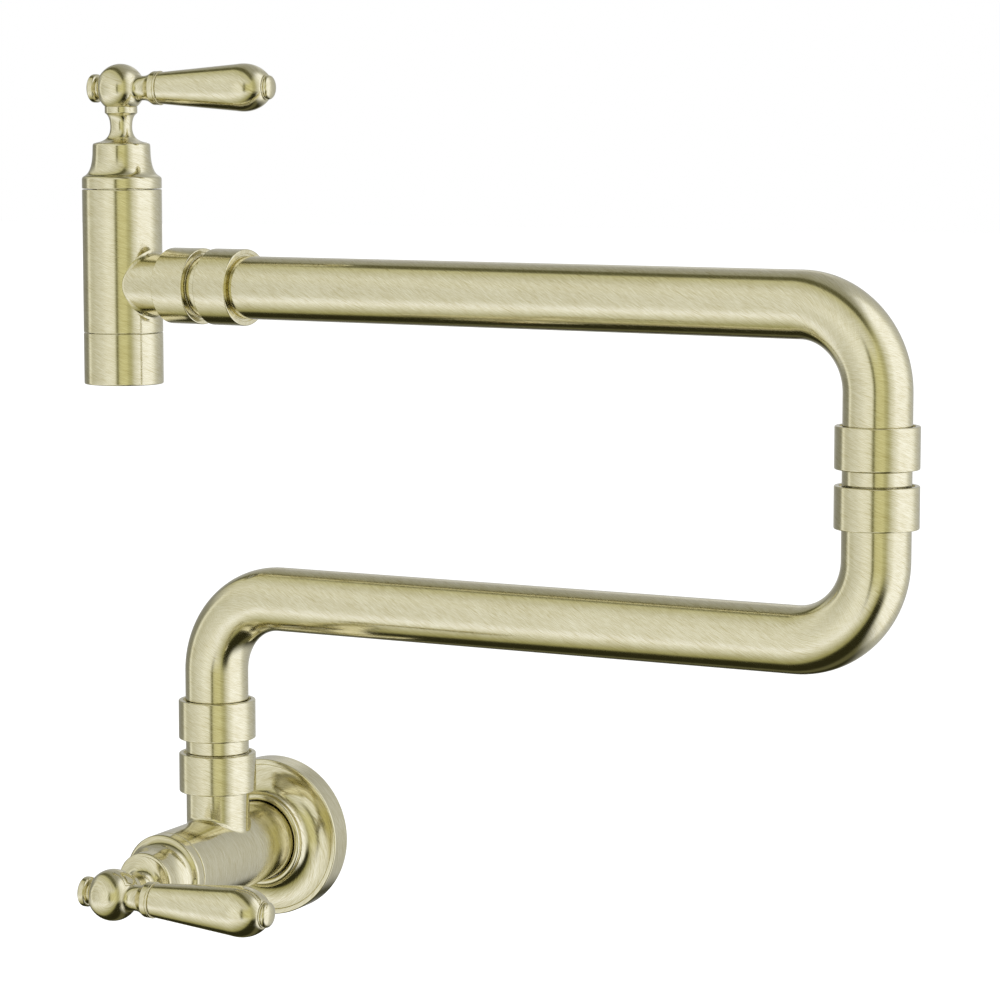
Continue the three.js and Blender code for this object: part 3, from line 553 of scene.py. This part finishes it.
def bent_line(corners, per_bend=28, spacing=12):
    """Stations (point, direction, distance) along straight runs joined by round quarter bends."""
    stations = [(corners[0], (corners[1] - corners[0]).normalized())]
    for before, corner, after in zip(corners, corners[1:], corners[2:]):
        arriving, leaving = (corner - before).normalized(), (after - corner).normalized()
        centre = corner + (leaving - arriving) * bend_radius
        for step in range(per_bend + 1):
            angle = math.pi / 2 * step / per_bend
            inward = leaving * bend_radius * math.cos(angle)
            onward = arriving * bend_radius * math.sin(angle)
            direction = arriving * math.cos(angle) + leaving * math.sin(angle)
            stations.append((centre - inward + onward, direction))
    stations.append((corners[-1], (corners[-1] - corners[-2]).normalized()))
    line = [(*stations[0], 0.0)]
    for point, direction in stations[1:]:
        start, _, distance = line[-1]
        span = (point - start).length
        cuts = max(1, round(span / spacing))
        for cut in range(1, cuts + 1):
            line.append((start.lerp(point, cut / cuts), direction, distance + span * cut / cuts))
    return line


def tube_skin(corners, radius, sides=96):
    """The outside of a bent tube whose middle line stays in its local XZ plane."""
    line = bent_line([Vector(corner) for corner in corners])
    sideways = Vector((0, 1, 0))
    angles = np.arange(sides) * math.tau / sides
    rings, leanings = [], []
    for point, direction, _ in line:
        east, north = np.array(sideways.cross(direction)), np.array(sideways)
        outward = np.outer(np.cos(angles), north) + np.outer(np.sin(angles), -east)
        rings.append(np.array(point) + outward * radius)
        leanings.append(outward)
    normals = np.stack([leanings[:-1], leanings[1:]], axis=1)
    return skin(np.array(rings), normals, np.array([distance for _, _, distance in line]))


def tube_end(move, end, wall_start):
    """The rim and the first stretch of bore at a tube's end, about the tube's own line."""
    rim = [(tube_radius, end - 1), (tube_radius, end, 0.25)]
    rim += [(tube_bore, end, 0.25), (tube_bore, wall_start)]
    return placed(turned(eased(rim)[1:]), move, stub_brass)


leg_end = -leg_drop + half_gap
upper_end = upper_arm_reach - stub_reach - half_gap
lower_line = [(0, 0, leg_end), (0, 0, 0), (lower_arm_reach, 0, 0), (lower_arm_reach, 0, -leg_end)]
upper_line = [(0, 0, leg_end), (0, 0, 0), (upper_end, 0, 0)]
pointing_down = about("X", math.pi)

dress(
    "lower_arm_tube",
    placed(tube_skin(lower_line, tube_radius), lower_arm, lower_brass),
    tube_end(lower_arm @ pointing_down, -leg_end, 30),
    tube_end(elbow @ at(0, 0, -leg_drop), -leg_end, 30),
)
dress(
    "upper_arm_tube",
    placed(tube_skin(upper_line, tube_radius), upper_arm, upper_brass),
    tube_end(upper_arm @ pointing_down, -leg_end, 30),
    tube_end(upper_arm @ toward_stub, upper_end, upper_end - 30),
)

# ------------------------------------------------------------------------------------- spout head
# The second turned body: barrel upright, stub back to the arm, and below it a ring of the same
# girth screwed over a spigot. The ring's lip holds a white plastic aerator against a washer.

head_skirt = 19.8
spigot_radius = 13.7
spigot_low = -28
outlet_low = -41.3
outlet_mouth = 12

level_stub_brass = brushed_brass("level_stub_brushed_brass", tube_radius, level_lay)
head_bore = [(10, -14), (10, spigot_low), (spigot_radius, spigot_low, 0.3), (spigot_radius, -head_skirt),
             (barrel_radius, -head_skirt, 0.3)]
dress(
    "head_body",
    placed(turned(eased(head_bore + barrel_front_edge), finely), spout_head, barrel_brass),
    placed(turned(stub_outline, finely), spout_head @ toward_stub, level_stub_brass),
    placed(stub_fillet(tube_radius), spout_head, level_stub_brass),
)

outlet_outline = eased([
    (14, -20.1), (14, -38.8), (outlet_mouth, -38.8), (outlet_mouth, outlet_low, 0.5),
    (barrel_radius, outlet_low, 0.7), (barrel_radius, -20.1, 0.3), (14, -20.1),
])
dress("outlet_ring", placed(turned(outlet_outline, finely), spout_head, barrel_brass))

aerator_low = -38.5
aerator_top = -30.1
cell_pitch = 3.0
cell_wall = 0.45
cell_lift = 0.6
cell_rows = range(-4, 5)
cell_columns = range(-5, 6)
cup_floor = 1
cup_wall = 0.9


def moulded_plastic(name, colour, roughness):
    """Moulded plastic: even colour with a faint mottle and a fine skin."""
    material, wires, shader = finish(name)
    place = wires.node("ShaderNodeTexCoord").part("Object")
    mottle = wires.node("ShaderNodeTexNoise", {}, {"Vector": place, "Scale": 400.0, "Detail": 3.0}) - 0.5
    dull = tuple(share * 0.86 for share in colour)
    connect((mottle + 0.5).between((*dull, 1), (*colour, 1)), shader, "Base Color")
    connect(roughness + mottle * 0.2, shader, "Roughness")
    pores = wires.node("ShaderNodeBump", {}, {"Height": mottle, "Distance": 0.00002})
    connect(pores, shader, "Normal")
    return material


white_plastic = moulded_plastic("white_moulded_plastic", (0.82, 0.82, 0.79), 0.45)


def hexagon_cell(centre_x, centre_y, across_flats, wall, low, high):
    """One six-sided cell of the aerator's grid: an upright wall with its two rims."""
    corners = 6
    angles = np.arange(corners) * math.tau / corners
    outer, inner = across_flats / math.sqrt(3), (across_flats - 2 * wall) / math.sqrt(3)
    spread = [(outer, low), (outer, high), (inner, high), (inner, low), (outer, low)]
    circle = np.column_stack([np.cos(angles), np.sin(angles)])
    centre = (centre_x, centre_y)
    rings = np.array([np.column_stack([circle * r + centre, h + 0 * angles]) for r, h in spread])
    outward = np.column_stack([circle, 0 * angles])
    up = np.tile([0.0, 0.0, 1.0], (corners, 1))
    normals = np.array([[way, way] for way in (outward, up, -outward, -up)])
    return skin(rings, normals, np.arange(5.0))


cells = []
grid_radius = outlet_mouth - seat_gap
for row in cell_rows:
    for column in cell_columns:
        x = (column + (row % 2) / 2) * cell_pitch
        y = row * cell_pitch * math.sqrt(3) / 2
        if math.hypot(x, y) + cell_pitch / 2 < grid_radius:
            cell = hexagon_cell(y, x, cell_pitch, cell_wall / 2, aerator_low + cell_lift, aerator_top)
            cells.append(placed(cell, spout_head, white_plastic))
cup_bore = grid_radius - cup_wall
cup_outline = eased([
    (0, aerator_top - cup_floor), (cup_bore, aerator_top - cup_floor), (cup_bore, aerator_low, 0.25),
    (spigot_radius, aerator_low, 0.3), (spigot_radius, aerator_top, 0.3), (0, aerator_top),
])
dress("aerator_insert", placed(turned(cup_outline), spout_head, white_plastic), *cells)

# ------------------------------------------------------------------------------------- bonnets
# A bonnet closes each barrel over its cartridge. It is turned from brass: a ring as wide as the
# barrel, a hollow flare, and a slim cap with an eased top, screwed down into the barrel.

bonnet_low = barrel_front + seat_gap
bonnet_top = 58
cap_radius = 11.95
bonnet_outline = eased([(9.5, 31), (11.7, 31), (11.7, bonnet_low), (barrel_radius, bonnet_low, 0.45),
                        (barrel_radius, barrel_front + 4.9, 0.9), (15.5, 44.45), (15.45, 44.5)])
bonnet_outline += curve((15.45, 44.5), (13.9, 45.2), (12.3, 47.4), (cap_radius, 53.4), 14)
bonnet_outline += eased([(cap_radius, 53.4), (11.8, bonnet_top, 1.2), (4, bonnet_top), (4, 55.5)])[1:]
bonnet_brass = brushed_brass("bonnet_brushed_brass", girth=13, lay=upright_lay)
wall_bonnet_brass = brushed_brass("wall_bonnet_brushed_brass", girth=13, lay=8)
dress("base_bonnet", placed(turned(bonnet_outline, finely), wall_valve, wall_bonnet_brass))
dress("head_bonnet", placed(turned(bonnet_outline, finely), spout_head, bonnet_brass))

# ------------------------------------------------------------------------------------- lever handles
# Each handle is a turned hub on the valve's spindle: a flared foot, a waisted neck, a ring and a ball.
# The lever grip and its little finial sit on a rod screwed into the ball's side, and a button
# opposite hides the set screw.

ball_height = 80.4
ball_radius = 10
ring_radius = 6.7
hub_brass = brushed_brass("hub_brushed_brass", girth=7, lay=-30)
grip_brass = brushed_brass("grip_brushed_brass", girth=8, lay=56)

hub_outline = [(3.4, 58.05), (10.4, 58.05), (10.5, 58.15)]
hub_outline += curve((10.5, 58.15), (7.0, 58.7), (4.6, 60.2), (4.5, 64.4), 18)
hub_outline += curve((4.5, 64.4), (4.5, 66.8), (4.9, 68.9), (6.2, 69.9), 10)
hub_outline += eased([(6.2, 69.9), (ring_radius, 70.3, 0.3), (ring_radius, 72.9, 0.3), (6.5, 73.0)])[1:]
hub_outline += round_arc(ball_height, ball_radius, -47.6, 90, 30)

lever_root = math.radians(40)
root = (ball_radius * math.sin(lever_root), ball_radius * math.cos(lever_root))
root_lean = (root[0] - 1.0 * math.cos(lever_root), root[1] + 1.0 * math.sin(lever_root))
lever_outline = [root] + curve(root, root_lean, (5.0, 9.1), (5.0, 10.4), 8)
lever_outline += curve((5.0, 10.4), (5.0, 12.8), (6.0, 14.0), (6.75, 15.3), 10)
lever_outline += eased([(6.75, 15.3), (6.9, 15.6, 0.3), (6.9, 17.55, 0.12), (6.66, 17.7),
                        (6.66, 17.8), (7.0, 17.95, 0.1), (7.0, 18.6, 0.2), (6.0, 18.72),
                        (5.6, 18.1), (2.9, 18.1), (2.9, 9.8)])[1:]

grip_outline = [(2.9, 18.7)] + eased([(2.9, 18.7), (6.5, 18.7, 0.2), (9.5, 53.5)])[1:]
grip_outline += curve((9.5, 53.5), (10.3, 58.8), (8.8, 63.2), (5.6, 66.2), 18)
grip_outline += [(5.3, 66.3), (2.9, 66.3)]

finial_outline = eased([(2.9, 66.35), (5.2, 66.35, 0.12), (5.2, 66.8, 0.15), (4.6, 66.95)])
finial_outline += curve((4.6, 66.95), (5.3, 67.2), (5.1, 69.6), (0, 69.6), 14)

tail_outline = eased([(0, 7.2), (2.4, 7.2), (2.4, 8.6), (4.5, 8.6), (4.4, 9.8), (5.2, 10.05, 0.2),
                      (5.8, 10.6, 0.3), (5.85, 12.8, 0.8), (4.7, 13.45)])
tail_outline += curve((4.7, 13.45), (3.2, 13.65), (1.6, 13.7), (0, 13.7), 6)


def handle(prefix, valve, lever_turn):
    """The turned pieces of one handle, its lever standing at an angle to the valve's stub."""
    hub = valve @ about("Z", math.radians(lever_turn))
    ball = hub @ at(0, 0, ball_height)
    lever = ball @ about("Y", math.pi / 2)
    tail = ball @ about("Y", -math.pi / 2)
    dress(prefix + "_handle_hub", placed(turned(hub_outline), hub, hub_brass),
          placed(turned(lever_outline), lever, hub_brass))
    dress(prefix + "_lever_grip", placed(turned(grip_outline, 120), lever, grip_brass))
    dress(prefix + "_lever_finial", placed(turned(finial_outline), lever, hub_brass))
    dress(prefix + "_tail_button", placed(turned(tail_outline), tail, hub_brass))


handle("base", wall_valve, lever_turn=-91)
handle("head", spout_head, lever_turn=11.4)

# ------------------------------------------------------------------------------------- hidden pieces
# Cartridges, seals and spring rings keep their CAD shape: brass housings and spindles, lapped white
# ceramic discs, black rubber seals, and spring steel rings and set screws.


def black_rubber(name):
    """Moulded nitrile rubber: nearly black, matt, with a faint bloom."""
    material, wires, shader = finish(name)
    place = wires.node("ShaderNodeTexCoord").part("Object")
    bloom = wires.node("ShaderNodeTexNoise", {}, {"Vector": place, "Scale": 250.0, "Detail": 4.0})
    connect(bloom.between((0.012, 0.012, 0.013, 1), (0.045, 0.045, 0.047, 1)), shader, "Base Color")
    connect(0.55 + bloom * 0.3, shader, "Roughness")
    return material


finish_of = {
    "plain_brass": plain_brass,
    "spring_steel": machined_brass("spring_steel_satin", (0.60, 0.61, 0.63), 0.28),
    "black_rubber": black_rubber("black_nitrile_rubber"),
    "white_ceramic": moulded_plastic("white_lapped_ceramic", (0.86, 0.85, 0.81), 0.18),
}
for node, solid in frame["nodes"].items():
    if not solid.hide_render:
        solid.data.materials.clear()
        solid.data.materials.append(finish_of[slot_of[node]])

# ------------------------------------------------------------------------------------- studio
# A plain pale floor well below, a white background, two soft lamps, and round the object a light
# tent that only its metal sees: white behind, a bright side, and darker cloth above and below.

middle = Vector((0.105, -0.06, 0.13))
camera_turn = math.radians(25.262)
camera_dip = math.radians(6.125)
camera_place = Vector((0.6787, -1.2204, 0.2896))

camera_data = bpy.data.cameras.new("photo_camera")
camera_data.lens = 121.57
camera_data.sensor_width = 36
camera = bpy.data.objects.new("photo_camera", camera_data)
camera.location = camera_place
camera.rotation_euler = (math.pi / 2 - camera_dip, 0, camera_turn)
bpy.context.scene.collection.objects.link(camera)
bpy.context.scene.camera = camera
bpy.context.scene.view_settings.view_transform = "Standard"


def looked_at(wires):
    """1 where the camera, a reflection or clear plastic looks, and 0 where only light is gathered."""
    ray = wires.node("ShaderNodeLightPath")
    camera_or_glossy = ray.maths("MAXIMUM", ray.part("Is Camera Ray"), ray.part("Is Glossy Ray"))
    return ray.maths("MAXIMUM", camera_or_glossy, ray.part("Is Transmission Ray"))


world = bpy.data.worlds.new("studio")
bpy.context.scene.world = world
world.use_nodes = True
world.node_tree.nodes.clear()
sky = Wire(world.node_tree)
gathered_level = 0.75  # the background's strength where it only casts light
strength = looked_at(sky) * (1 - gathered_level) + gathered_level
background = sky.node("ShaderNodeBackground", {}, {"Color": (1, 1, 1, 1), "Strength": strength})
sky.node("ShaderNodeOutputWorld", {}, {"Surface": background})

floor_drop = 0.45
floor_reach = 24.0
floor_lift = (0.5, 0.5, 0.5, 1)
floor_mesh = bpy.data.meshes.new("studio_floor")
floor_corners = [(-floor_reach, -floor_reach), (floor_reach, -floor_reach),
                 (floor_reach, floor_reach), (-floor_reach, floor_reach)]
floor_mesh.from_pydata([(x, y, -floor_drop) for x, y in floor_corners], [], [(0, 1, 2, 3)])
floor = bpy.data.objects.new("studio_floor", floor_mesh)
bpy.context.scene.collection.objects.link(floor)
floor.visible_glossy = False
floor_paint, floor_wires, floor_shader = finish("pale_studio_floor")
floor_shader.inputs["Base Color"].default_value = (0.88, 0.88, 0.87, 1)
floor_shader.inputs["Roughness"].default_value = 0.9
floor_shader.inputs["Specular IOR Level"].default_value = 0.0
floor_glow = looked_at(floor_wires).between((0, 0, 0, 1), floor_lift)
connect(floor_glow, floor_shader, "Emission Color")
floor_shader.inputs["Emission Strength"].default_value = 1.0
floor_mesh.materials.append(floor_paint)

lamp_size = 1.6
for name, place, power in (("key_lamp", (-1.2, -1.8, 2.0), 18.0), ("fill_lamp", (2.0, -1.2, 1.2), 9.0)):
    lamp_data = bpy.data.lights.new(name, "AREA")
    lamp_data.size = lamp_size
    lamp_data.energy = power
    lamp = bpy.data.objects.new(name, lamp_data)
    lamp.location = place
    lamp.rotation_euler = (middle - Vector(place)).to_track_quat("-Z", "Y").to_euler()
    lamp.visible_glossy = False
    bpy.context.scene.collection.objects.link(lamp)


def tent_cloth(level, warmth=0.0):
    """The colour of a stretch of the tent: its brightness, and how golden it is."""
    return (level, level * (1 - 0.04 * warmth), level * (1 - 0.5 * warmth))


# Brightness round the tent, in degrees to the right of the camera as the object sees it.
ring_cloth = [
    (-180, 0.60, 0), (-150, 0.32, 0.1), (-122, 0.29, 0.3), (-116, 0.45, 0.2), (-112, 0.98, 0.1),
    (-106, 0.95, 0.1), (-101, 0.70, 0.2), (-90, 0.70, 0.2), (-80, 0.78, 0.1), (-60, 0.87, 0.05),
    (-46, 1.0, 0), (-36, 1.02, 0), (-22, 0.97, 0.1), (-18, 0.62, 0.5), (-16, 0.20, 1.0), (-12, 0.22, 1.0),
    (-9, 0.68, 0.8), (0, 0.76, 0.8), (14, 0.76, 0.8), (18, 0.60, 0.85), (26, 0.54, 0.8), (32, 0.68, 0.4),
    (38, 0.86, 0.1), (46, 1.0, 0), (56, 1.22, -0.2), (94, 1.22, -0.2), (104, 1.06, -0.1), (112, 0.82, 0),
    (122, 0.66, 0), (150, 0.52, 0), (180, 0.60, 0),
]
# Brightness over the top of the tent, in degrees up from the front, and under it, in degrees down.
arch_cloth = [
    (-180, 0.50, 0.2), (-162, 0.40, 0.3), (-150, 0.05, 1.2), (-122, 0.03, 1.2), (-116, 0.13, 1),
    (-108, 0.13, 1), (-102, 0.03, 1.2), (-80, 0.03, 1.2), (-76, 0.06, 1.2), (-71, 0.36, 1.1),
    (-66, 0.46, 0.9), (-60, 0.56, 0.6), (-52, 0.74, 0.3), (-44, 0.90, 0.1), (-36, 1.08, -0.1),
    (-28, 1.10, -0.2), (-12, 1.0, 0), (6, 0.94, 0.05), (24, 0.89, 0.1), (40, 0.87, 0.1),
    (50, 0.78, 0.2), (60, 0.70, 0.4), (71, 0.64, 0.7), (76, 0.13, 1.0), (86, 0.13, 1.0),
    (90, 0.36, 0.4), (108, 0.44, 0.1), (116, 0.46, 0), (126, 0.52, 0), (140, 0.85, 0),
    (160, 1.0, 0), (180, 1.0, 0),
]

tent_radius = 4.0
tent_strength = 0.97
tent_mesh = bpy.data.meshes.new("light_tent")
tent_ball = bmesh.new()
bmesh.ops.create_icosphere(tent_ball, subdivisions=4, radius=tent_radius)
tent_ball.to_mesh(tent_mesh)
tent_ball.free()
tent = bpy.data.objects.new("light_tent", tent_mesh)
tent.location = middle
tent.rotation_euler = (0, 0, camera_turn)
bpy.context.scene.collection.objects.link(tent)
tent.visible_camera = False
tent.visible_diffuse = False
tent.visible_transmission = False
tent.visible_shadow = False

tent_material = bpy.data.materials.new("light_tent_cloth")
tent_material.use_nodes = True
tent_material.node_tree.nodes.clear()
cloth = Wire(tent_material.node_tree)
on_tent = cloth.node("ShaderNodeTexCoord").part("Object")
spot = cloth.node("ShaderNodeSeparateXYZ", {}, {"Vector": on_tent})
right, ahead, up = spot.part("X"), spot.part("Y") * -1, spot.part("Z")
arch_turn = math.radians(-62)
forward = ahead * math.cos(arch_turn) + right * math.sin(arch_turn)


def banded(angle, bands):
    stops = [((degrees + 180) / 360, tent_cloth(level, warmth)) for degrees, level, warmth in bands]
    return cloth.node("ShaderNodeValToRGB", {"stops": stops}, {"Fac": angle / math.tau + 0.5})


# The ring shows near the horizon, and the arch well above and below it.
ring_colour = banded(right.maths("ARCTAN2", right, ahead), ring_cloth)
arch_colour = banded(up.maths("ARCTAN2", up, forward), arch_cloth)
steepness = smooth_step(up.maths("ABSOLUTE", up) / tent_radius, 0.16, 0.56)

# The ring's bright right side also reaches far up and down, except low down in front.
side_tilt = math.radians(5)
off_axis = up.maths("SQRT", right * right + up * up)
sideways = (right * math.cos(side_tilt) + up * math.sin(side_tilt)) / off_axis
past_front = smooth_step((right - ahead) / tent_radius, -0.25, 0.1)
overhead = smooth_step(up / tent_radius, -0.05, 0.05)
beside = smooth_step(sideways, 0.28, 0.64) * up.maths("MAXIMUM", past_front, overhead)
tent_colour = (steepness * (1 - beside)).between(ring_colour, arch_colour)
glow = cloth.node("ShaderNodeEmission", {}, {"Color": tent_colour, "Strength": tent_strength})
cloth.node("ShaderNodeOutputMaterial", {}, {"Surface": glow})
tent_mesh.materials.append(tent_material)
